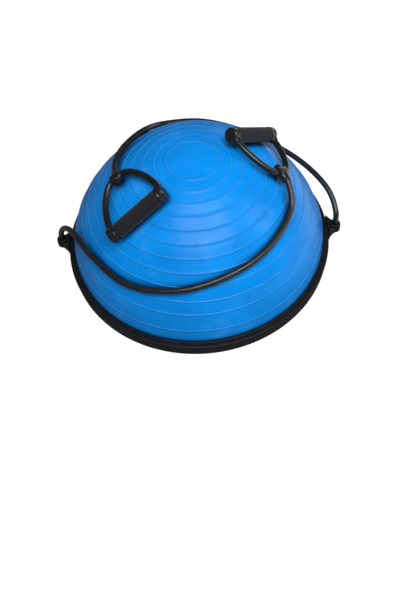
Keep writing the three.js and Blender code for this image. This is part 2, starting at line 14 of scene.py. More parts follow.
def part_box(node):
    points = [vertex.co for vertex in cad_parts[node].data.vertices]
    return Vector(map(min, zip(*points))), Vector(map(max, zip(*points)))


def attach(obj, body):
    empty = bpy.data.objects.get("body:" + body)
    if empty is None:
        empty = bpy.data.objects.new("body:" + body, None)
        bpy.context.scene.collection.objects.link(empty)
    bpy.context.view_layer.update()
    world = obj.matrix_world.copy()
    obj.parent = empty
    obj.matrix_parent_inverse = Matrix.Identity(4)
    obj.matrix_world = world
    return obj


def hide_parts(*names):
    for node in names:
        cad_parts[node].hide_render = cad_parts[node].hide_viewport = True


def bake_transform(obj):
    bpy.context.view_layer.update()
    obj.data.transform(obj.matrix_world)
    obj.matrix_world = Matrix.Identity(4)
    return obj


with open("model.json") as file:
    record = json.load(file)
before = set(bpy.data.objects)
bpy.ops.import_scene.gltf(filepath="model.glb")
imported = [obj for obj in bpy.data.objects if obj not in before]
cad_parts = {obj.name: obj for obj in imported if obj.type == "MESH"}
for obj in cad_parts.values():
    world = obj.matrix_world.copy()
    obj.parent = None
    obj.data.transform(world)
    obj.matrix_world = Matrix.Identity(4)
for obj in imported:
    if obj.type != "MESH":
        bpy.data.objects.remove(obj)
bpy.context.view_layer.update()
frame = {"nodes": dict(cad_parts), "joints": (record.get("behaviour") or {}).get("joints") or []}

MM = 0.001
NODES = frame["nodes"]
JOINTS = {joint["name"]: joint for joint in frame["joints"]}
SIDES = ("front", "back")
FINE = 256  # sides of the large turned pieces
UP = Vector((0, 0, 1))

# Dome section. The raised rings lie at distances along the surface from its top.
FULLNESS = 1.223
WIDEST_HIGH = 36.4 * MM
MEMBRANE = 2.8 * MM
RING_FIRST = 53.3 * MM
RING_STEP = 24.9 * MM
RING_GROWTH = 0.22 * MM
RING_COUNT = 11
RING_LAST = 364.4 * MM
RING_RISE = 1.0 * MM
RING_HALF = 1.7 * MM

# Base tray and clamp ring. The ring has a leg inside the tray's wall and a lip over the dome's bead.
DOME_INSET = 13.8 * MM  # from the outside of the clamp ring to the widest part of the dome
LEG_IN = 272.5 * MM
LEG_OUT = 283.6 * MM
LIP_IN = 264.5 * MM
LIP_LOW = 9.7 * MM  # both faces of the lip are measured down from the ring's top
LIP_TOP = 7 * MM
WALL_LEAN = 2 * MM
WALL_THICK = 3.2 * MM
FLOOR_LOW = 15 * MM
FLOOR_TOP = 18 * MM
IN_FLOOR = (FLOOR_LOW + FLOOR_TOP) / 2
RIB_LOW = 5 * MM
RIB_THICK = 3 * MM
RING_RIBS = (36 * MM, 110 * MM, 185 * MM)
SPOKES = 16
BOSS_RADIUS = 6 * MM
PAD_RADIUS = 14.5 * MM
SCREW_HOLE = 2.3 * MM
HEAD_DEEP = 2.4 * MM
STEM_HOLE = 3.3 * MM  # takes a foot's stem
STEM_HOLE_TOP = 9.3 * MM
PLAY = 0.3 * MM

# Anchors: an ear round the eye and a screw plate below it.
EAR_ROOT = 270 * MM
EAR_LOW = 23 * MM
EAR_TOP = 36 * MM
EAR_WALL = 286 * MM  # the flanks are hollow curves from here to the eye
EAR_BEND = 295 * MM  # the corner that they are drawn towards, and its share of the ear's half width
EAR_FLANK = 0.52
PLATE_HALF = 18 * MM
PLATE_OUT = 294.5 * MM

# Handles.
ARM_OUT = 62 * MM  # the arms end this far from the middle of the grip
YOKE_RADIUS = 11.4 * MM
YOKE_HALF = 11.7 * MM
PIN_HOLE = 6.66 * MM
TUBE_SEAT = 13 * MM  # from the pin to the end of the tube
PLUG_HOLE = 4.3 * MM
PLUG_DEEP = 8.5 * MM  # from the pin to the bottom of the plug's hole
CORE_BORE = 7.06 * MM
SPIGOT = 7 * MM

# Valve.
VALVE_HOLE = 8.3 * MM  # in the membrane
VALVE_FACE = 2.4 * MM  # how far the seat stands above the dome
VALVE_BORE = 4.05 * MM
VALVE_STEM = 4 * MM
TAB_RADIUS = 4.5 * MM

WORLD = 0.22  # strength of the even white light all round

# Plain colours, linear.
BLUE = (0.001, 0.238, 0.73)
BLUE_DEEP = (0.0005, 0.195, 0.61)
BLUE_PAINTED_SHADE = (0.002, 0.075, 0.27)  # painted shade where the eye meets the membrane at a low angle and on the flanks of the raised rings
BLUE_PAINTED_SHADOW = (0.001, 0.012, 0.06)  # painted shadow in the cracks beside the tubes and the rim
# painted highlight along the crests of the raised rings
BLUE_PAINTED_GLINT = (0.09, 0.42, 0.95)


# ---------------------------------------------------------------- meshes


def eased(corners, steps=4):
    """An outline with corners rounded. A corner is (x, y) or (x, y, how far back the rounding starts)."""
    outline = []
    for i, corner in enumerate(corners):
        here = Vector(corner[:2])
        if len(corner) < 3:
            outline.append((here.x, here.y))
            continue
        back = Vector(corners[i - 1][:2]) - here
        on = Vector(corners[(i + 1) % len(corners)][:2]) - here
        start = here + back.normalized() * min(corner[2], back.length / 2)
        end = here + on.normalized() * min(corner[2], on.length / 2)
        for step in range(steps + 1):
            share = step / steps
            spot = start * (1 - share) ** 2 + here * 2 * share * (1 - share) + end * share**2
            outline.append((spot.x, spot.y))
    return outline


def new_mesh(vertices, faces, place=None):
    mesh = bpy.data.meshes.new("shape")
    mesh.from_pydata([tuple(v) for v in vertices], [], faces)
    if place is not None:
        mesh.transform(place)
    return mesh


def turned(profile, sides=64, place=None):
    """A solid turned about Z. The profile is (radius, height) pairs that run up the outside.
    It either starts and ends on the axis or closes on itself."""
    open_ended = profile[0][0] < 1e-9 and profile[-1][0] < 1e-9
    vertices, rows = [], []
    for radius, height in profile:
        first = len(vertices)
        if radius < 1e-9:
            vertices.append((0, 0, height))
            rows.append([first] * sides)
            continue
        for k in range(sides):
            angle = 2 * math.pi * k / sides
            vertices.append((radius * math.cos(angle), radius * math.sin(angle), height))
        rows.append(list(range(first, first + sides)))
    if not open_ended:
        rows.append(rows[0])
    faces = []
    for low, high in zip(rows, rows[1:]):
        for k in range(sides):
            n = (k + 1) % sides
            corners = [low[k], low[n], high[n], high[k]]
            faces.append(tuple(dict.fromkeys(corners)))
    return new_mesh(vertices, faces, place)


def extruded(outline, low, high, place=None):
    """A flat outline in XY, counter-clockwise, carried along Z."""
    count = len(outline)
    vertices = [(x, y, low) for x, y in outline] + [(x, y, high) for x, y in outline]
    faces = [tuple(reversed(range(count))), tuple(range(count, 2 * count))]
    for k in range(count):
        n = (k + 1) % count
        faces.append((k, n, count + n, count + k))
    return new_mesh(vertices, faces, place)


def swept(points, radius, sides=32, seam=0.0, seam_across=None):
    """A rod along a line of points. A seam raises a fine parting line on the two sides facing seam_across."""
    points = [Vector(p) for p in points]
    last = len(points) - 1
    tangents = [(points[min(i + 1, last)] - points[max(i - 1, 0)]).normalized() for i in range(last + 1)]
    across = Vector(seam_across) if seam_across else tangents[0].orthogonal()
    vertices = []
    for point, tangent in zip(points, tangents):
        across = (across - tangent * across.dot(tangent)).normalized()
        other = tangent.cross(across)
        for k in range(sides):
            angle = 2 * math.pi * k / sides
            ridge = seam * math.exp(-((math.sin(angle) / 0.14) ** 2))
            reach = radius + ridge
            vertices.append(point + across * reach * math.cos(angle) + other * reach * math.sin(angle))
    faces = []
    for i in range(last):
        for k in range(sides):
            n = (k + 1) % sides
            faces.append((i * sides + k, i * sides + n, (i + 1) * sides + n, (i + 1) * sides + k))
    faces.append(tuple(reversed(range(sides))))
    faces.append(tuple(range(last * sides, (last + 1) * sides)))
    return new_mesh(vertices, faces)


def together(meshes):
    """Several meshes as one."""
    vertices, faces = [], []
    for mesh in meshes:
        first = len(vertices)
        vertices += [v.co.copy() for v in mesh.vertices]
        faces += [tuple(first + i for i in p.vertices) for p in mesh.polygons]
    return new_mesh(vertices, faces)


def added(name, data):
    """A new object in the scene."""
    made = bpy.data.objects.new(name, data)
    bpy.context.scene.collection.objects.link(made)
    return made


def baked(mesh, *modifiers):
    """The mesh with modifiers applied, each given as (kind, settings)."""
    holder = added("holder", mesh)
    for kind, settings in modifiers:
        modifier = holder.modifiers.new(kind, kind)
        for key, value in settings.items():
            setattr(modifier, key, value)
    made = bpy.data.meshes.new_from_object(holder.evaluated_get(bpy.context.evaluated_depsgraph_get()))
    bpy.data.objects.remove(holder)
    return made


def moulded(meshes, voxel, rounds):
    """Overlapping shapes fused into one skin, with their creases filled and their edges softened."""
    remesh = ("REMESH", {"mode": "VOXEL", "voxel_size": voxel})
    smooth = ("SMOOTH", {"factor": 0.5, "iterations": rounds})
    return baked(together(meshes), remesh, smooth)


def combined(operation, mesh, *tools, solver="MANIFOLD"):
    """A boolean of the mesh with each tool in turn. The exact solver leaves uncut faces alone."""
    for tool in tools:
        other = added("tool", tool)
        settings = {"operation": operation, "solver": solver, "object": other}
        mesh = baked(mesh, ("BOOLEAN", settings))
        bpy.data.objects.remove(other)
    return mesh


def cylinder(radius, low, high, sides=48, place=None):
    return turned([(0, low), (radius, low), (radius, high), (0, high)], sides, place)


def show(node, mesh, slot, body, crease=38, also=()):
    """Adds a finished piece: it rides on a body and stands for a CAD node, and for any others given."""
    mesh.name = f"{node}_skin"
    mesh.materials.clear()
    mesh.materials.append(MATERIALS[slot])
    mesh.shade_smooth()
    mesh.set_sharp_from_angle(angle=math.radians(crease))
    piece = added(mesh.name, mesh)
    if body:
        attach(piece, body)
    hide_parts(node, *also)
    return piece


# ---------------------------------------------------------------- places read from the frame


def place_of(origin, up, along=None):
    """A place with its Z along up and its X as near to along as it can be."""
    z = Vector(up).normalized()
    x = Vector(along) if along is not None else z.orthogonal()
    x = (x - z * x.dot(z)).normalized()
    y = z.cross(x)
    place = Matrix((x, y, z)).transposed().to_4x4()
    place.translation = Vector(origin)
    return place


def moved(x=0, y=0, z=0):
    return Matrix.Translation((x, y, z))


def turn_z(angle):
    return Matrix.Rotation(angle, 4, "Z")


def middle(node):
    low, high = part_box(node)
    return (low + high) / 2


def nodes_of(kind):
    return [node for node in sorted(NODES) if node.startswith(kind)]


def centres_of(kind):
    return [middle(node) for node in nodes_of(kind)]


def reach(node, place):
    """(largest radius, lowest, highest) of a node about the Z axis of a place."""
    inverse = place.inverted()
    local = np.array([inverse @ v.co for v in NODES[node].data.vertices])
    return float(np.hypot(local[:, 0], local[:, 1]).max()), float(local[:, 2].min()), float(local[:, 2].max())


def centre_line(node, near):
    """A rod's radius and the middles of its rings of vertices, starting at the end near a point."""
    keys, edges, spots = {}, {}, []
    data = NODES[node].data
    index = []
    for vertex in data.vertices:
        key = tuple(round(c, 6) for c in vertex.co)
        if key not in keys:
            keys[key] = len(spots)
            spots.append(vertex.co.copy())
        index.append(keys[key])
    for edge in data.edges:
        a, b = (index[i] for i in edge.vertices)
        edges.setdefault(a, set()).add(b)
        edges.setdefault(b, set()).add(a)
    start = min(range(len(spots)), key=lambda i: (spots[i] - Vector(near)).length)
    seen, level, middles, sides, radius = {start}, {start}, [spots[start]], 0, 0
    while level:
        level = {b for a in level for b in edges[a]} - seen
        seen |= level
        sides = sides or len(level)
        if len(level) == sides:
            ring = [spots[i] for i in sorted(level)]
            centre = sum(ring, Vector()) / sides
            radius = radius or (ring[0] - centre).length
            if (centre - middles[-1]).length > MM:
                middles.append(centre)
    return middles, radius


def smoothed(points, spacing):
    """Points at an even spacing along a smooth curve through the given ones."""
    ends = [points[0] * 2 - points[1], *points, points[-1] * 2 - points[-2]]
    line = []
    for p, q, r, s in zip(ends, ends[1:], ends[2:], ends[3:]):
        steps = max(1, round((r - q).length / spacing))
        for step in range(steps):
            t = step / steps
            square = (p * 2 - q * 5 + r * 4 - s) * t**2
            cube = (q * 3 - p - r * 3 + s) * t**3
            line.append((q * 2 + (r - p) * t + square + cube) / 2)
    return [*line, points[-1].copy()]


def handle_place(side):
    """X along the pin, Y from the pin to the grip, Z up off the dome; and the distance from pin to grip."""
    flip, spin = JOINTS[f"{side}_handle_flip"], JOINTS[f"{side}_grip_spin"]
    pin, grip = Vector(flip["pos_m"]), Vector(spin["pos_m"])
    up = Vector(flip["axis"]).cross(grip - pin)
    return place_of(pin, up, flip["axis"]), (grip - pin).length


# ---------------------------------------------------------------- materials


def add(tree, kind, inputs=None, **settings):
    """A node. Its inputs are values, or sockets to link."""
    made = tree.nodes.new(kind)
    for key, value in settings.items():
        setattr(made, key, value)
    for key, value in (inputs or {}).items():
        socket = made.inputs[key]
        if isinstance(value, bpy.types.NodeSocket):
            tree.links.new(value, socket)
        elif isinstance(value, tuple) and len(value) == 3 and socket.type == "RGBA":
            socket.default_value = (*value, 1)
        else:
            socket.default_value = value
    return made


def new_material(name):
    """A new material, its node tree, its shader and its object coordinates."""
    material = bpy.data.materials.new(name)
    material.use_nodes = True
    tree = material.node_tree
    shader = tree.nodes["Principled BSDF"]
    coordinates = tree.nodes.new("ShaderNodeTexCoord").outputs["Object"]
    return material, tree, shader, coordinates


def speckle(tree, coordinates, size, detail=3.0, stretch=None, rough=0.55):
    """Noise whose features are about size across, from 0 to 1."""
    if stretch:
        mapping = add(tree, "ShaderNodeMapping", {"Vector": coordinates, "Scale": stretch})
        coordinates = mapping.outputs["Vector"]
    made = add(
        tree,
        "ShaderNodeTexNoise",
        {"Vector": coordinates, "Scale": 1 / size, "Detail": detail, "Roughness": rough},
    )
    return made.outputs["Fac"]


def spread(tree, value, low, high, to_low=0.0, to_high=1.0):
    """A value's stretch from low to high, carried to to_low to to_high and held there."""
    inputs = {"Value": value, "From Min": low, "From Max": high, "To Min": to_low, "To Max": to_high}
    return add(tree, "ShaderNodeMapRange", inputs).outputs["Result"]


def maths(tree, operation, first, second):
    return add(tree, "ShaderNodeMath", {0: first, 1: second}, operation=operation).outputs[0]


def mix(tree, factor, first, second):
    made = tree.nodes.new("ShaderNodeMix")
    made.data_type = "RGBA"
    for socket, value in ((made.inputs[0], factor), (made.inputs[6], first), (made.inputs[7], second)):
        if isinstance(value, bpy.types.NodeSocket):
            tree.links.new(value, socket)
        else:
            socket.default_value = (*value, 1) if isinstance(value, tuple) else value
    return made.outputs[2]


def bump(tree, height, distance, under=None, strength=1.0):
    inputs = {"Height": height, "Distance": distance, "Strength": strength}
    if under is not None:
        inputs["Normal"] = under
    return add(tree, "ShaderNodeBump", inputs).outputs["Normal"]


def edges_of(tree, low, high):
    """1 on worn convex edges and 0 elsewhere."""
    return spread(tree, tree.nodes.new("ShaderNodeNewGeometry").outputs["Pointiness"], low, high)


def facing_up(tree):
    normal = tree.nodes.new("ShaderNodeNewGeometry").outputs["Normal"]
    return add(tree, "ShaderNodeSeparateXYZ", {"Vector": normal}).outputs["Z"]


def nearby_shade(tree, distance):
    """1 in the open and less where something stands close over the surface; it masks painted shadow."""
    return add(tree, "ShaderNodeAmbientOcclusion", {"Distance": distance}, samples=8).outputs["AO"]


def connect(tree, shader, **sockets):
    for key, value in sockets.items():
        socket = shader.inputs[key.replace("_", " ")]
        if isinstance(value, bpy.types.NodeSocket):
            tree.links.new(value, socket)
        else:
            socket.default_value = value


def vinyl():
    """Blown vinyl: cloudy blue, with a painted highlight on each raised ring, painted shade on its flanks and
    at low angles, painted shadow in cracks, pale patches painted as faint reflections, dust and faint scuffs."""
    material, tree, shader, at = new_material("dome_vinyl")
    cloud = spread(tree, speckle(tree, at, 0.09), 0.35, 0.65)
    colour = mix(tree, cloud, BLUE_DEEP, BLUE)
    crest = add(tree, "ShaderNodeAttribute", attribute_name="crest").outputs["Fac"]
    # Painted shade on the flanks of each raised ring and a painted highlight on its crest.
    flank = maths(tree, "MULTIPLY", crest, maths(tree, "SUBTRACT", 1.0, crest))
    colour = mix(tree, maths(tree, "MULTIPLY", flank, 1.3), colour, BLUE_PAINTED_SHADE)
    colour = mix(tree, maths(tree, "MULTIPLY", crest, 0.24), colour, BLUE_PAINTED_GLINT)
    # Pale patches painted as faint reflections on the glossy membrane.
    pale_reflection_patches = spread(tree, speckle(tree, at, 0.07), 0.57, 0.76, 0, 0.2)
    colour = mix(tree, pale_reflection_patches, colour, (0.14, 0.40, 0.85))
    dust = spread(tree, speckle(tree, at, 0.004, 6.0), 0.62, 0.8, 0, 0.10)
    colour = mix(tree, dust, colour, (0.35, 0.45, 0.62))
    # Painted shade where the membrane is seen at a low angle.
    edge = add(tree, "ShaderNodeLayerWeight", {"Blend": 0.5}).outputs["Facing"]
    colour = mix(tree, spread(tree, edge, 0.62, 0.97, 0, 0.75), colour, BLUE_PAINTED_SHADE)
    # Painted shadow in the cracks where the tubes and the rim stand close over the membrane.
    colour = mix(tree, spread(tree, nearby_shade(tree, 15 * MM), 0.35, 0.92, 0.95, 0), colour, BLUE_PAINTED_SHADOW)
    scuff = spread(tree, speckle(tree, at, 0.02, 5.0, stretch=(1, 6, 1)), 0.5, 0.75, 0, 0.12)
    rough = maths(tree, "ADD", scuff, spread(tree, speckle(tree, at, 0.05), 0.3, 0.7, 0.27, 0.36))
    peel = bump(tree, speckle(tree, at, 0.0035, 2.0), 0.00006)
    grain = bump(tree, speckle(tree, at, 0.0007, 2.0), 0.00002, peel)
    connect(tree, shader, Base_Color=colour, Roughness=rough, Normal=grain, IOR=1.5)
    connect(tree, shader, Coat_Weight=0.06, Coat_Roughness=0.09, Specular_IOR_Level=0.12)
    return material


def moulded_plastic(name, dark, light, rough, grain, depth, wear=0.5, dust=0.1, shine=0.14):
    """Black moulded plastic or rubber: mottled, with a fine grain, paler worn edges and dust on top."""
    material, tree, shader, at = new_material(name)
    mottle = spread(tree, speckle(tree, at, 0.018, 4.0), 0.3, 0.7)
    colour = mix(tree, mottle, dark, light)
    edge = maths(tree, "MULTIPLY", edges_of(tree, 0.51, 0.58), wear)
    edge = maths(tree, "MULTIPLY", edge, spread(tree, speckle(tree, at, 0.006, 5.0), 0.35, 0.7))
    colour = mix(tree, edge, colour, tuple(c * 3.5 + 0.02 for c in light))
    settled = maths(tree, "MULTIPLY", spread(tree, facing_up(tree), 0.3, 1.0), dust)
    settled = maths(tree, "MULTIPLY", settled, spread(tree, speckle(tree, at, 0.0016, 6.0), 0.5, 0.8))
    colour = mix(tree, settled, colour, (0.09, 0.087, 0.083))
    patches = spread(tree, speckle(tree, at, 0.012, 4.0), 0.3, 0.7, rough - 0.06, rough + 0.08)
    gloss = maths(tree, "ADD", patches, settled)
    soft = bump(tree, speckle(tree, at, grain * 6, 2.0), depth * 1.5)
    fine = bump(tree, speckle(tree, at, grain, 2.0), depth, soft)
    connect(tree, shader, Base_Color=colour, Roughness=gloss, Normal=fine, Specular_IOR_Level=shine)
    return material


def foam():
    """Charcoal closed-cell foam: open-looking pores with painted shade in their hollows, a soft sheen and
    rubbed patches.
    """
    material, tree, shader, at = new_material("grip_foam")
    rubbed = spread(tree, speckle(tree, at, 0.022, 4.0), 0.4, 0.7)
    colour = mix(tree, rubbed, (0.009, 0.010, 0.016), (0.018, 0.019, 0.028))
    cells = add(tree, "ShaderNodeTexVoronoi", {"Vector": at, "Scale": 1 / 0.0015, "Randomness": 1.0})
    pores = spread(tree, cells.outputs["Distance"], 0.0, 0.55)
    # Painted shade in the hollow of each pore.
    colour = mix(tree, maths(tree, "MULTIPLY", pores, 0.5), (0.006, 0.006, 0.008), colour)
    large = bump(tree, speckle(tree, at, 0.004, 3.0), 0.00025)
    fine = bump(tree, pores, 0.0004, large)
    connect(tree, shader, Base_Color=colour, Roughness=0.92, Normal=fine)
    connect(tree, shader, Sheen_Weight=0.1, Sheen_Roughness=0.5, Specular_IOR_Level=0.2)
    return material


def soft_white():
    """White flexible plastic of the valve, a little yellowed and grubby in patches."""
    material, tree, shader, at = new_material("valve_white")
    grime = spread(tree, speckle(tree, at, 0.006, 5.0), 0.45, 0.75, 0, 0.35)
    colour = mix(tree, grime, (0.78, 0.79, 0.79), (0.52, 0.51, 0.47))
    rough = spread(tree, speckle(tree, at, 0.004), 0.3, 0.7, 0.34, 0.5)
    fine = bump(tree, speckle(tree, at, 0.0008), 0.00003)
    connect(tree, shader, Base_Color=colour, Roughness=rough, Normal=fine, Subsurface_Weight=0.1)
    connect(tree, shader, Subsurface_Scale=0.003)
    return material


def plated_steel():
    """Zinc-plated screws: fine turning marks, dull patches and a warm tinge."""
    material, tree, shader, at = new_material("screw_steel")
    dull = spread(tree, speckle(tree, at, 0.003, 5.0), 0.35, 0.7)
    colour = mix(tree, dull, (0.62, 0.61, 0.58), (0.38, 0.37, 0.35))
    rough = spread(tree, speckle(tree, at, 0.0015, 4.0), 0.3, 0.7, 0.22, 0.45)
    marks = bump(tree, speckle(tree, at, 0.0006, 3.0, stretch=(1, 1, 5)), 0.00002)
    connect(tree, shader, Base_Color=colour, Roughness=rough, Normal=marks, Metallic=1.0)
    return material


MATERIALS = {
    "dome": vinyl(),
    "base": moulded_plastic(
        "base_plastic", (0.005, 0.005, 0.006), (0.011, 0.011, 0.012), 0.52, 0.0008, 0.00006
    ),
    "rim": moulded_plastic(
        "rim_plastic", (0.004, 0.005, 0.007), (0.009, 0.010, 0.012), 0.45, 0.0007, 0.00005, shine=0.1
    ),
    "rubber": moulded_plastic(
        "black_rubber", (0.005, 0.005, 0.005), (0.010, 0.010, 0.010), 0.7, 0.0006, 0.00005
    ),
    "tube": moulded_plastic(
        "tube_latex", (0.007, 0.007, 0.009), (0.014, 0.014, 0.017), 0.3, 0.0012, 0.00002, 0.0, 0.04, 0.4
    ),
    "handle": moulded_plastic(
        "handle_plastic", (0.005, 0.005, 0.005), (0.012, 0.010, 0.010), 0.27, 0.0014, 0.000006, 0.5, 0.06, 0.4
    ),
    "foam": foam(),
    "valve": soft_white(),
    "steel": plated_steel(),
}


# ---------------------------------------------------------------- dome


class DomeSection:
    """The dome's section, measured along the surface from its top."""

    def __init__(self):
        self.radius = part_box("rim_ring")[1].x - DOME_INSET
        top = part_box("dome_bladder")[1].z
        turn = np.linspace(math.pi / 2, 0, 4001)
        self.radii = self.radius * np.cos(turn)
        self.heights = WIDEST_HIGH + (top - WIDEST_HIGH) * np.sin(turn) ** FULLNESS
        steps = np.hypot(np.diff(self.radii), np.diff(self.heights))
        self.arcs = np.concatenate([[0], np.cumsum(steps)])
        self.length = float(self.arcs[-1])

    def at(self, arc, out=0.0):
        """(radius, height) at a distance from the top, moved out from the surface by a step."""
        radius = float(np.interp(arc, self.arcs, self.radii))
        height = float(np.interp(arc, self.arcs, self.heights))
        slope = self.slope(arc)
        return radius - slope[1] * out, height + slope[0] * out

    def slope(self, arc):
        """The direction away from the top along the surface, as (radius, height)."""
        near = 0.4 * MM
        a, b = max(arc - near, 0), min(arc + near, self.length)
        run = np.interp(b, self.arcs, self.radii) - np.interp(a, self.arcs, self.radii)
        fall = np.interp(b, self.arcs, self.heights) - np.interp(a, self.arcs, self.heights)
        size = math.hypot(run, fall)
        return float(run / size), float(fall / size)


DOME = DomeSection()


def ring_arcs():
    return [RING_FIRST + k * RING_STEP + k * k * RING_GROWTH for k in range(RING_COUNT)] + [RING_LAST]


def crest_at(arc):
    """How much of a raised ring's height stands at a distance from the top, from 0 to 1."""
    nearest = min(abs(arc - ring) for ring in ring_arcs())
    return 0.5 + 0.5 * math.cos(math.pi * nearest / RING_HALF) if nearest < RING_HALF else 0.0


def dome_arcs():
    """Where the dome's rows of vertices lie: close together on the raised rings, wider between them."""
    arcs = set(np.round(np.linspace(0, DOME.length, 66), 6))
    arcs = {a for a in arcs if min(abs(a - ring) for ring in ring_arcs()) > 1.5 * RING_HALF}
    for ring in ring_arcs():
        arcs |= {round(ring + share * RING_HALF, 6) for share in np.linspace(-1, 1, 9)}
    return sorted(a for a in arcs if a <= DOME.length)


def unevenness(spot):
    """How far a point of the blown membrane stands off its true shape."""
    above = max(0.0, spot.z - WIDEST_HIGH)
    swell = noise.noise(spot * 9) * 0.9 * MM * min(1, above / (60 * MM))
    around = spot.to_2d().normalized() if spot.to_2d().length > 1e-6 else Vector((0, 0))
    pleat = noise.noise(Vector((around.x * 16, around.y * 16, spot.z * 5)))
    return swell + pleat * 0.5 * MM * math.exp(-above / (28 * MM)) * min(1, above / (3 * MM))


def make_dome():
    clamp = clamp_sizes()
    arcs = dome_arcs()
    outside = [DOME.at(arc, RING_RISE * crest_at(arc)) for arc in reversed(arcs)]
    bead = [
        (0, FLOOR_TOP + PLAY),
        (LEG_IN - 0.4 * MM, FLOOR_TOP + PLAY),
        (LEG_IN - 0.4 * MM, clamp["lip_low"] - PLAY),
        (LIP_IN - 0.5 * MM, clamp["lip_low"] - PLAY),
        (LIP_IN - 0.5 * MM, clamp["lip_top"]),
        (LEG_IN - 0.3 * MM, clamp["top"] - 0.6 * MM),
        (DOME.radius - 1.6 * MM, WIDEST_HIGH - 2.6 * MM),
        (DOME.radius - 0.35 * MM, WIDEST_HIGH - 1.1 * MM),
    ]
    outer = turned(bead + outside, FINE)
    rows = [0.0] * len(bead) + [crest_at(arc) for arc in reversed(arcs)]
    crests = []
    for (radius, _), crest in zip(bead + outside, rows):
        crests += [crest] * (1 if radius < 1e-9 else FINE)
    attribute = outer.attributes.new("crest", "FLOAT", "POINT")
    attribute.data.foreach_set("value", crests)
    for vertex in outer.vertices:
        if vertex.co.z > WIDEST_HIGH:
            out = Vector((vertex.co.x, vertex.co.y, vertex.co.z * 0.7)).normalized()
            vertex.co += out * unevenness(vertex.co)
    within = [
        (0, FLOOR_TOP + MEMBRANE),
        (LIP_IN - 5 * MM, FLOOR_TOP + MEMBRANE),
        (LIP_IN - 3.5 * MM, clamp["lip_top"]),
        (LEG_IN - 3.2 * MM, clamp["top"]),
    ]
    within += [DOME.at(DOME.length * share, -MEMBRANE) for share in np.linspace(1, 0.04, 24)]
    within.append((0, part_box("dome_bladder")[1].z - MEMBRANE))
    hole = cylinder(VALVE_HOLE, -12 * MM, 12 * MM, 48, valve_place())
    dome = combined("DIFFERENCE", outer, turned(within, 96), hole, solver="EXACT")
    show("dome_bladder", dome, "dome", "base", 50)


# ---------------------------------------------------------------- base


def clamp_sizes():
    """The clamp ring's outside radius and main heights, from its box."""
    low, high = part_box("rim_ring")
    top = high.z
    return {
        "out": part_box("base_tray")[1].x,
        "top": top,
        "leg_low": low.z,
        "lip_low": top - LIP_LOW,
        "lip_top": top - LIP_TOP,
    }


def wall_radius(height):
    """The tray wall's outside radius at a height."""
    low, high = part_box("base_tray")
    return high.x - WALL_LEAN * (high.z - height) / (high.z - low.z)


def make_rim():
    size = clamp_sizes()
    out, top, under = size["out"], size["top"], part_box("base_tray")[1].z + PLAY
    profile = [
        (LIP_IN, size["lip_low"], 0.3 * MM),
        (LEG_IN, size["lip_low"]),
        (LEG_IN, size["leg_low"], 0.5 * MM),
        (LEG_OUT, size["leg_low"], 0.5 * MM),
        (LEG_OUT, under),
        (out - 0.3 * MM, under, 0.5 * MM),
        (out + 0.4 * MM, under + 1.2 * MM, 0.9 * MM),
        (out - 0.3 * MM, top - 1.2 * MM, 1.2 * MM),
        (out - 2.6 * MM, top, 1.5 * MM),
        (out - 8.0 * MM, top - 0.1 * MM, 1.0 * MM),
        (out - 9.2 * MM, top - 0.7 * MM, 0.6 * MM),
        (out - 12.0 * MM, top - 0.7 * MM, 0.6 * MM),
        (out - 13.2 * MM, top, 0.8 * MM),
        (LEG_IN + 2.0 * MM, top, 1.5 * MM),
        (LEG_IN + 0.4 * MM, top - 1.0 * MM, 1.0 * MM),
        (LIP_IN, size["lip_top"], 0.4 * MM),
    ]
    ring = turned(eased(profile, 3), FINE)
    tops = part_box("rim_screw_1")[1].z + PLAY
    holes = [cylinder(SCREW_HOLE, 0, tops, 24, moved(c.x, c.y)) for c in centres_of("rim_screw")]
    ring = combined("DIFFERENCE", ring, together(holes))
    show("rim_ring", ring, "rim", "base")


def tray_shell():
    low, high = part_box("base_tray")
    profile = [
        (0, FLOOR_LOW),
        (wall_radius(FLOOR_LOW) - WALL_THICK, FLOOR_LOW, 1.5 * MM),
        (wall_radius(low.z) - WALL_THICK, low.z, 0.8 * MM),
        (wall_radius(low.z), low.z, 1.2 * MM),
        (wall_radius(low.z + 4 * MM) + 0.05 * MM, low.z + 4 * MM, 1 * MM),
        (wall_radius(high.z), high.z, 0.5 * MM),
        (wall_radius(high.z) - WALL_THICK, high.z, 0.4 * MM),
        (wall_radius(FLOOR_TOP) - WALL_THICK, FLOOR_TOP, 0.8 * MM),
        (0, FLOOR_TOP),
    ]
    return turned(eased(profile, 3), FINE)


def rib_section(near, far):
    """A rib's section, which ends inside the tray's floor."""
    return eased([(near, RIB_LOW, 1 * MM), (far, RIB_LOW, 1 * MM), (far, IN_FLOOR), (near, IN_FLOOR)], 3)


def tray_spokes():
    section = rib_section(-RIB_THICK / 2, RIB_THICK / 2)
    upright = Matrix(((0, 0, 1, 0), (1, 0, 0, 0), (0, 1, 0, 0), (0, 0, 0, 1)))
    outer = wall_radius(RIB_LOW) - 1 * MM
    turns = [turn_z(2 * math.pi * (k + 0.5) / SPOKES) for k in range(SPOKES)]
    return together([extruded(section, RING_RIBS[0], outer, turn @ upright) for turn in turns])


def tray_bosses():
    """Bosses over the rim screws, and pads over the feet."""
    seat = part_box("rim_screw_1")[0].z + HEAD_DEEP + PLAY
    pad_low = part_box("base_tray")[0].z + 1 * MM
    screws = [cylinder(BOSS_RADIUS, seat, IN_FLOOR, 40, moved(c.x, c.y)) for c in centres_of("rim_screw")]
    pads = [cylinder(PAD_RADIUS, pad_low, IN_FLOOR, 48, moved(c.x, c.y)) for c in centres_of("foot")]
    return together(screws + pads)


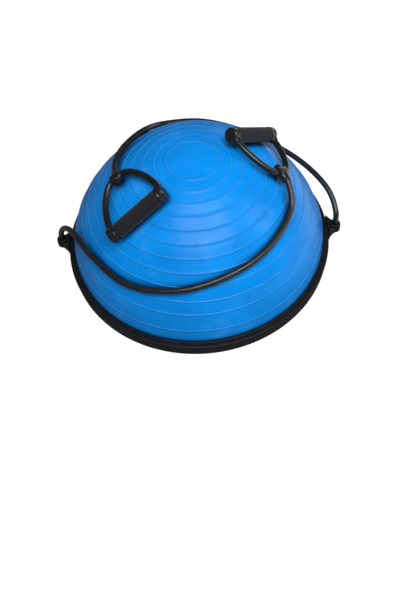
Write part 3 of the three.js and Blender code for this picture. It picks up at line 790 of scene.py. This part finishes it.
def tray_holes():
    holes = [cylinder(SCREW_HOLE, 0, 19 * MM, 24, moved(c.x, c.y)) for c in centres_of("rim_screw")]
    holes += [cylinder(STEM_HOLE, 0, STEM_HOLE_TOP, 24, moved(c.x, c.y)) for c in centres_of("foot")]
    for node in nodes_of("anchor_screw"):
        place = anchor_screw_place(node)
        head, low, high = reach(node, place)
        holes.append(cylinder(SCREW_HOLE, low, high, 24, place))
        holes.append(cylinder(head + 1 * MM, low - HEAD_DEEP, low + 2.6 * MM, 32, place))
    return holes


def make_tray():
    rings = together([turned(rib_section(r, r + RIB_THICK), 160) for r in RING_RIBS])
    tray = combined("UNION", tray_shell(), tray_spokes(), rings, tray_bosses())
    tray = combined("DIFFERENCE", tray, *tray_holes())
    show("base_tray", tray, "base", "base")


def anchor_screw_place(node):
    """+Z points outwards along the screw, and the origin is on the base's axis."""
    centre = middle(node)
    return place_of((0, 0, centre.z), (centre.x, centre.y, 0))


def make_screw(node, place):
    """A pan-head screw with a cross recess and a few turns of thread, its head at the low end of Z."""
    head, low, high = reach(node, place)
    shank = 2 * MM
    pitch = 0.8 * MM
    seat = low + HEAD_DEEP
    outline = [
        (head - 0.6 * MM, low, 0.6 * MM),
        (head, low + 1.2 * MM, 0.8 * MM),
        (head, seat, 0.2 * MM),
        (shank, seat),
    ]
    profile = [(0, low), *eased(outline, 3)[1:]]
    height = seat + pitch
    while height < high - 1.5 * pitch:
        profile += [(shank, height), (shank - 0.3 * MM, height + pitch / 2)]
        height += pitch
    profile += [(shank, height), (shank - 0.9 * MM, high), (0, high)]
    body = turned(profile, 32, place)
    arm, deep = 0.45 * MM, 1.4 * MM
    long = head * 0.55
    cross = [(arm, -long), (arm, -arm), (long, -arm), (long, arm), (arm, arm), (arm, long)]
    cross += [(-x, -y) for x, y in cross]
    recess = extruded(cross, low - 1 * MM, low + deep, place)
    return combined("DIFFERENCE", body, recess)


def make_screws():
    places = {node: anchor_screw_place(node) for node in nodes_of("anchor_screw")}
    for node in nodes_of("rim_screw"):
        centre = middle(node)
        places[node] = moved(centre.x, centre.y)
    for node, place in places.items():
        show(node, make_screw(node, place), "steel", "base")


def make_feet():
    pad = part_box("base_tray")[0].z + 0.7 * MM
    for node in nodes_of("foot_"):
        centre = middle(node)
        place = moved(centre.x, centre.y)
        radius, low, high = reach(node, place)
        profile = [(0, low + 0.5 * MM)]
        for groove in (3, 6, 9):
            profile += [(groove * MM, low + 0.5 * MM), (groove * MM + 0.4 * MM, low)]
            profile += [(groove * MM + 1.6 * MM, low), (groove * MM + 2 * MM, low + 0.5 * MM)]
        profile[-2:] = []  # beyond the last groove the face runs on to the edge
        edge_and_stem = [
            (radius - 1.4 * MM, low),
            (radius - 0.7 * MM, low + 0.3 * MM, 0.4 * MM),
            (radius, low + 1.3 * MM, 0.6 * MM),
            (radius, pad, 0.3 * MM),
            (3 * MM, pad),
            (3 * MM, high - 1 * MM),
            (2.2 * MM, high),
            (0, high),
        ]
        profile += eased(edge_and_stem, 3)
        show(node, turned(profile, 56, place), "rubber", "base")


# ---------------------------------------------------------------- anchors


def eye_place(side):
    """Upright at the middle of an anchor's eye, with X pointing away from the base."""
    centre = Vector(JOINTS[f"{side}_tube_lift"]["pos_m"])
    return place_of((centre.x, 0, 0), UP, (centre.x, 0, 0))


def make_ear(side, place):
    """The ear round the eye, with its hollow flanks, on a plate that lies against the base's wall."""
    low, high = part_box(f"{side}_anchor")
    centre = abs(place.translation.x)
    eye = max(abs(low.x), abs(high.x)) - centre
    half = high.y
    root, wall, bend, out = (radius - centre for radius in (EAR_ROOT, EAR_WALL, EAR_BEND, PLATE_OUT))
    flank = [
        (
            (1 - t) ** 2 * wall + 2 * t * (1 - t) * bend,
            (1 - t) ** 2 * half + 2 * t * (1 - t) * EAR_FLANK * half + t**2 * (eye - 0.5 * MM),
        )
        for t in np.linspace(0, 1, 14)
    ]
    outline = [(root, -half), *[(x, -y) for x, y in flank], *reversed(flank), (root, half)]
    plate = [(root, -PLATE_HALF), (out, -PLATE_HALF), (out, PLATE_HALF), (root, PLATE_HALF)]
    band = eye - 0.8 * MM
    collar = [
        (0, EAR_LOW),
        (eye, EAR_LOW, 1.2 * MM),
        (eye, EAR_TOP + 1.5 * MM, 0.6 * MM),
        (band, EAR_TOP + 2.4 * MM, 0.5 * MM),
        (band, high.z, 3.2 * MM),
        (0, high.z),
    ]
    shapes = [
        extruded(outline, EAR_LOW, EAR_TOP, place),
        extruded(plate, low.z, (EAR_LOW + EAR_TOP) / 2, place),
        turned(eased(collar), 64, place),
    ]
    thick = 1.5 * MM
    for way in (-1, 1):
        inner, outer = way * 20 * MM, way * 9 * MM
        web = [(root, inner - thick), (2 * MM, outer - thick), (2 * MM, outer + thick), (root, inner + thick)]
        shapes.append(extruded(web, EAR_TOP - 4 * MM, EAR_TOP + 1.6 * MM, place))
    return moulded(shapes, 0.55 * MM, 7)


def make_anchor(side):
    node = f"{side}_anchor"
    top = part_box(node)[1].z
    place = eye_place(side)
    tray_low, tray_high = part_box("base_tray")
    reach_up = 50 * MM
    lean = WALL_LEAN / (tray_high.z - tray_low.z)
    foot = wall_radius(0) + PLAY
    base = turned([(0, 0), (foot, 0), (foot + lean * reach_up, reach_up), (0, reach_up)], FINE)
    under_rim = cylinder(clamp_sizes()["out"] + 1 * MM, tray_high.z - PLAY, reach_up, FINE)
    tube = reach(f"{side}_tube_root", place)[0] + PLAY
    stopper, _, stopper_top = reach(f"{side}_stopper", place)
    bore = [
        (0, 0),
        (tube, 0),
        (tube, top - 1.6 * MM, 0.8 * MM),
        (tube + 1.8 * MM, top + 0.4 * MM),
        (0, top + 0.4 * MM),
    ]
    recess = cylinder(stopper + PLAY, 0, stopper_top + PLAY, 64, place)
    tools = [base, under_rim, turned(eased(bore, 3), 64, place), recess]
    for screw in nodes_of("anchor_screw"):
        if middle(screw).x * place.translation.x > 0:
            spot = anchor_screw_place(screw)
            tools.append(cylinder(SCREW_HOLE, 0.25, reach(screw, spot)[2] + PLAY, 24, spot))
    anchor = combined("DIFFERENCE", make_ear(side, place), *tools)
    show(node, anchor, "base", "base", 60)


def make_stopper(side):
    node = f"{side}_stopper"
    place = eye_place(side)
    radius, low, high = reach(node, place)
    bore = reach(f"{side}_tube_root", place)[0] + PLAY
    inner = low + 2.4 * MM
    profile = [
        (0, low + 0.8 * MM),
        (3 * MM, low + 0.8 * MM, 0.3 * MM),
        (4 * MM, low, 0.4 * MM),
        (radius - 0.4 * MM, low, 2.2 * MM),
        (radius, low + 4 * MM, 1.5 * MM),
        (radius, high - 5 * MM, 0.4 * MM),
        (radius - 0.7 * MM, high - 4.4 * MM, 0.3 * MM),
        (radius - 0.7 * MM, high - 3.4 * MM, 0.3 * MM),
        (radius, high - 2.8 * MM, 0.4 * MM),
        (radius - 0.3 * MM, high, 1.2 * MM),
        (bore, high, 0.4 * MM),
        (bore, inner),
        (0, inner),
    ]
    show(node, turned(eased(profile, 3), 64, place), "rubber", "base")


# ---------------------------------------------------------------- tubes


def tube_line(side):
    """The tube's centre line from its stopper up through the eye and on to the yoke."""
    pin = Vector(JOINTS[f"{side}_handle_flip"]["pos_m"])
    bend = Vector(JOINTS[f"{side}_tube_lift"]["pos_m"])
    line, radius = centre_line(f"{side}_tube", pin)
    line = [p for p in line if (p - bend).length > 2 * radius]
    low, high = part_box(f"{side}_tube_root")
    rise = [Vector((bend.x, 0, z)) for z in np.linspace(low.z, high.z, 4)]
    return [*rise, bend, *reversed(line)], radius


def make_tube(side):
    line, radius = tube_line(side)
    points = smoothed(line, 3 * MM)
    tube = swept(points, radius, 28)
    piece = show(f"{side}_tube", tube, "tube", None, also=[f"{side}_tube_root"])
    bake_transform(piece)


# ---------------------------------------------------------------- handles


def yoke_place(side):
    """X along the pin, Z from the pin down the yoke's neck to the tube."""
    pin = Vector(JOINTS[f"{side}_handle_flip"]["pos_m"])
    line, _ = centre_line(f"{side}_tube", pin)
    return place_of(pin, line[0] - pin, JOINTS[f"{side}_handle_flip"]["axis"])


def make_yoke(side):
    node = f"{side}_yoke"
    place = yoke_place(side)
    _, low, high = reach(node, place)
    along_pin = place @ Matrix.Rotation(math.pi / 2, 4, "Y")
    half = YOKE_HALF
    belly = YOKE_RADIUS + 0.15 * MM
    barrel = [
        (0, -half),
        (YOKE_RADIUS - 0.4 * MM, -half, 1.2 * MM),
        (YOKE_RADIUS, 1.4 * MM - half, 0.6 * MM),
        (belly, half / -3, 2 * MM),
        (belly, half / 3, 2 * MM),
        (YOKE_RADIUS, half - 1.4 * MM, 0.6 * MM),
        (YOKE_RADIUS - 0.4 * MM, half, 1.2 * MM),
        (0, half),
    ]
    neck = [
        (0, 0),
        (10.3 * MM, 0),
        (9.8 * MM, high * 0.5, 5 * MM),
        (8.9 * MM, high - 4.4 * MM, 1 * MM),
        (8.9 * MM, high - 4 * MM, 0.3 * MM),
        (9.4 * MM, high - 3.4 * MM, 0.4 * MM),
        (9.4 * MM, high - 1.2 * MM, 1 * MM),
        (8.4 * MM, high, 0.8 * MM),
        (0, high),
    ]
    stub = [(0, low), (8.5 * MM, low, 1.2 * MM), (9 * MM, 0), (0, 0)]
    shapes = [turned(eased(barrel), 64, along_pin)]
    shapes += [turned(eased(profile), 64, place) for profile in (neck, stub)]
    tube = centre_line(f"{side}_tube", place.translation)[1] + PLAY
    tools = [
        cylinder(PIN_HOLE, -half - 2 * MM, half + 2 * MM, 64, along_pin),
        cylinder(tube, TUBE_SEAT, high + 1 * MM, 48, place),
        cylinder(PLUG_HOLE, low - 1 * MM, -PLUG_DEEP, 48, place),
    ]
    yoke = combined("DIFFERENCE", moulded(shapes, 0.45 * MM, 34), *tools)
    show(node, yoke, "handle", f"{side}_tube", 60)


def make_end_plug(side):
    node = f"{side}_end_plug"
    place = yoke_place(side)
    radius, low, high = reach(node, place)
    brim = low + 3.4 * MM
    profile = [
        (0, low + 0.2 * MM),
        (2 * MM, low + 0.2 * MM, 0.5 * MM),
        (2.8 * MM, low, 0.5 * MM),
        (4.6 * MM, low + 0.3 * MM, 0.6 * MM),
        (radius, low + 2.0 * MM, 1.2 * MM),
        (radius, brim, 0.3 * MM),
        (4 * MM, brim),
        (4 * MM, high - 1 * MM, 0.3 * MM),
        (3 * MM, high, 0.3 * MM),
        (0, high),
    ]
    show(node, turned(eased(profile), 48, place), "rubber", f"{side}_tube")


def loop_line(side):
    """The loop's centre line, and its radius."""
    place, deep = handle_place(side)
    line, radius = centre_line(f"{side}_loop", place @ Vector((ARM_OUT, deep, 0)))
    return smoothed(line, 2 * MM), radius


def make_loop(side):
    line, radius = loop_line(side)
    up = handle_place(side)[0].to_3x3() @ UP
    loop = swept(line, radius - 0.12 * MM, 48, seam=0.22 * MM, seam_across=line[0].cross(up).normalized())
    show(f"{side}_loop", loop, "handle", f"{side}_handle")


def make_caps(side):
    place, deep = handle_place(side)
    line, radius = loop_line(side)
    longer = [line[0] * 2 - line[1], *line, line[-1] * 2 - line[-2]]
    socket = swept(longer, radius + PLAY, 40)
    grip = place @ moved(0, deep)
    for number, way in ((1, -1), (2, 1)):
        node = f"{side}_cap_{number}"
        axis = grip @ Matrix.Rotation(way * math.pi / 2, 4, "Y")
        _, inner, outer = reach(node, axis)
        size = reach(f"{side}_grip_sleeve", axis)[0] + 0.4 * MM
        shoulder = inner + 9.5 * MM
        body = [
            (0, inner),
            (SPIGOT, inner, 0.8 * MM),
            (SPIGOT, shoulder),
            (size - 0.6 * MM, shoulder, 0.5 * MM),
            (size, shoulder + 1.0 * MM, 0.6 * MM),
            (size, shoulder + 3 * MM, 0.5 * MM),
            (size - 0.6 * MM, shoulder + 3.8 * MM, 0.5 * MM),
            (size - 0.6 * MM, outer - 2 * MM, 2 * MM),
            (size - 3 * MM, outer, 1.6 * MM),
            (9.5 * MM, outer, 0.6 * MM),
            (8.6 * MM, outer - 0.9 * MM, 0.6 * MM),
            (0, outer - 0.9 * MM),
        ]
        arm = grip @ moved(way * ARM_OUT) @ Matrix.Rotation(math.pi / 2, 4, "X")
        collar = [
            (0, 6 * MM),
            (9.6 * MM, 6 * MM),
            (8.7 * MM, size + 1.5 * MM, 3 * MM),
            (8.4 * MM, size + 3 * MM, 0.8 * MM),
            (0, size + 3 * MM),
        ]
        cap = moulded([turned(eased(body), 72, axis), turned(eased(collar), 56, arm)], 0.45 * MM, 7)
        cap = combined("DIFFERENCE", cap, socket)
        show(node, cap, "handle", f"{side}_handle", 60)


def make_core(side, axis):
    node = f"{side}_grip_core"
    radius, low, high = reach(node, axis)
    profile = [(CORE_BORE, low), (radius, low, 0.3 * MM), (radius, high, 0.3 * MM), (CORE_BORE, high)]
    show(node, turned(eased(profile, 3), 64, axis), "handle", f"{side}_grip")


def make_sleeve(side, axis):
    """The foam sleeve: rounded ends and a slightly uneven surface."""
    node = f"{side}_grip_sleeve"
    radius, low, high = reach(node, axis)
    bore = reach(f"{side}_grip_core", axis)[0] + PLAY
    ease = 2.2 * MM
    rows = []
    for height in np.linspace(low, high, 71):
        from_end = min(height - low, high - height)
        round_off = 0 if from_end > ease else ease * (1 - math.sqrt(max(0, 1 - (1 - from_end / ease) ** 2)))
        rows.append((radius - round_off * 0.8, height))
    sleeve = turned([(bore, low), *rows, (bore, high)], 120)
    for vertex in sleeve.vertices:
        out = Vector((vertex.co.x, vertex.co.y, 0))
        if out.length > (bore + radius) / 2:
            dent = noise.noise(vertex.co * 60) * 0.22 * MM + noise.noise(vertex.co * 260) * 0.09 * MM
            vertex.co += out.normalized() * (dent - 0.1 * MM)
    sleeve.transform(axis)
    show(node, sleeve, "foam", f"{side}_grip", 60)


def make_grip(side):
    place, deep = handle_place(side)
    axis = place @ moved(0, deep) @ Matrix.Rotation(math.pi / 2, 4, "Y")
    make_core(side, axis)
    make_sleeve(side, axis)


# ---------------------------------------------------------------- valve


def valve_place():
    """+Z straight out of the dome along the valve's own joint axis, with the origin on the dome's surface."""
    axis = Vector(JOINTS["valve_plug_pull"]["axis"]).normalized()
    spots = [v.co for v in NODES["valve_seat"].data.vertices]
    centre = sum(spots, Vector()) / len(spots)
    high = max((spot - centre).dot(axis) for spot in spots)
    return place_of(centre + axis * (high - VALVE_FACE), axis, (1, 0, 0))


def make_valve_seat(place):
    radius, low, high = reach("valve_seat", place)
    neck = VALVE_HOLE - PLAY
    room = 1.2 * MM
    under = low + 1.6 * MM
    profile = [
        (VALVE_BORE, low),
        (radius - 1.5 * MM, low, 0.5 * MM),
        (radius - 1.5 * MM, under, 0.3 * MM),
        (neck, under),
        (neck, room),
        (radius, room, 0.4 * MM),
        (radius - 0.6 * MM, high - 0.3 * MM, 0.6 * MM),
        (radius - 3.4 * MM, high, 0.5 * MM),
        (radius - 3.9 * MM, high - 0.4 * MM, 0.3 * MM),
        (7.6 * MM, high - 0.4 * MM, 0.2 * MM),
        (7.4 * MM, high, 0.2 * MM),
        (VALVE_BORE, high, 0.4 * MM),
    ]
    show("valve_seat", turned(eased(profile, 3), 72, place), "valve", "base")


def make_valve_plug(place):
    _, tip, tab_top = reach("valve_plug", place)
    seat_top = reach("valve_seat", place)[2]
    low, high = seat_top + PLAY, seat_top + 2.4 * MM
    profile = [
        (0, tip),
        (VALVE_STEM - 1 * MM, tip, 0.6 * MM),
        (VALVE_STEM, tip + 1.5 * MM, 0.6 * MM),
        (VALVE_STEM, tip + 3 * MM, 0.3 * MM),
        (VALVE_STEM - 0.5 * MM, tip + 3.6 * MM, 0.3 * MM),
        (VALVE_STEM - 0.5 * MM, tip + 4.6 * MM, 0.3 * MM),
        (VALVE_STEM, tip + 5.2 * MM, 0.3 * MM),
        (VALVE_STEM, low),
        (7 * MM, low, 0.4 * MM),
        (7 * MM, high - 0.6 * MM, 0.6 * MM),
        (5.6 * MM, high, 0.5 * MM),
        (0, high),
    ]
    plug = turned(eased(profile, 3), 64, place)
    upright = place @ moved(0, 0, tab_top - TAB_RADIUS) @ Matrix.Rotation(math.pi / 2, 4, "X")
    disc = [(0, -1 * MM), (TAB_RADIUS, -1 * MM, 0.5 * MM), (TAB_RADIUS, 1 * MM, 0.5 * MM), (0, 1 * MM)]
    tab = turned(eased(disc, 3), 48, upright)
    show("valve_plug", moulded([plug, tab], 0.25 * MM, 3), "valve", "valve_plug", 60)


# ---------------------------------------------------------------- stage


def direction(azimuth, elevation):
    """Towards an azimuth (0 is the front) and elevation in degrees."""
    a, e = math.radians(azimuth), math.radians(elevation)
    return Vector((math.sin(a) * math.cos(e), -math.cos(a) * math.cos(e), math.sin(e)))


def add_light(name, azimuth, elevation, distance, size, power):
    """A soft oblong white light that faces the object from an azimuth and elevation in degrees."""
    data = bpy.data.lights.new(name, "AREA")
    data.shape = "RECTANGLE"
    data.size, data.size_y = size
    data.energy = power
    light = added(name, data)
    back = direction(azimuth, elevation)
    light.location = back * distance
    light.rotation_mode = "QUATERNION"
    light.rotation_quaternion = (-back).to_track_quat("-Z", "Y")


def add_floor():
    """A floor that looks white to the camera but lights the object like a grey one. Reflections also show
    it glowing to the right of the object."""
    half = 30
    mesh = new_mesh([(-half, -half, 0), (half, -half, 0), (half, half, 0), (-half, half, 0)], [(0, 1, 2, 3)])
    material, tree, shader, at = new_material("pale_floor")
    tone = spread(tree, speckle(tree, at, 0.5), 0.3, 0.7)
    rays = tree.nodes.new("ShaderNodeLightPath").outputs
    across = add(tree, "ShaderNodeSeparateXYZ", {"Vector": at}).outputs["X"]
    right = spread(tree, across, 0.34, 0.5, 0, 1.4)
    mirrored = maths(tree, "MULTIPLY", rays["Is Glossy Ray"], right)
    glow = maths(tree, "ADD", maths(tree, "MULTIPLY", rays["Is Camera Ray"], 0.9), mirrored)
    connect(tree, shader, Base_Color=mix(tree, tone, (0.19, 0.19, 0.19), (0.21, 0.21, 0.21)), Roughness=0.9)
    connect(tree, shader, Emission_Color=(1, 1, 1, 1), Emission_Strength=glow)
    mesh.materials.append(material)
    added("floor", mesh)


def add_sky():
    """Even white light all round: white to the camera, weaker on the object and weakest in reflections."""
    world = bpy.data.worlds.new("studio")
    world.use_nodes = True
    sky = world.node_tree
    background = sky.nodes["Background"].inputs
    background["Color"].default_value = (1, 1, 1, 1)
    kind = sky.nodes.new("ShaderNodeLightPath").outputs
    lighting = spread(sky, kind["Is Glossy Ray"], 0, 1, WORLD, WORLD / 2)
    sky.links.new(maths(sky, "ADD", kind["Is Camera Ray"], lighting), background["Strength"])
    bpy.context.scene.world = world


def add_stage():
    add_floor()
    add_sky()
    add_light("key", 14, 66, 3.0, (2.3, 1.9), 101)
    add_light("right_strip", 82, 38, 2.2, (0.7, 1.0), 9)
    bpy.context.scene.view_settings.view_transform = "Standard"
    bpy.context.scene.view_settings.look = "None"


def add_camera():
    data = bpy.data.cameras.new("camera")
    data.sensor_width = 36
    data.lens = 40.87
    data.shift_x = 0.0018
    data.shift_y = -0.0987
    camera = added("camera", data)
    back = direction(2.2, 52.5)
    camera.location = back * 1.5544 + UP * 4.9 * MM
    roll = Matrix.Rotation(math.radians(-4.94), 3, "Z")
    camera.rotation_euler = ((-back).to_track_quat("-Z", "Y").to_matrix() @ roll).to_euler()
    bpy.context.scene.camera = camera


# ---------------------------------------------------------------- the whole object

make_dome()
make_rim()
make_tray()
make_screws()
make_feet()
make_valve_seat(valve_place())
make_valve_plug(valve_place())
for side in SIDES:
    make_anchor(side)
    make_stopper(side)
    make_tube(side)
    make_yoke(side)
    make_end_plug(side)
    make_loop(side)
    make_caps(side)
    make_grip(side)
add_stage()
add_camera()
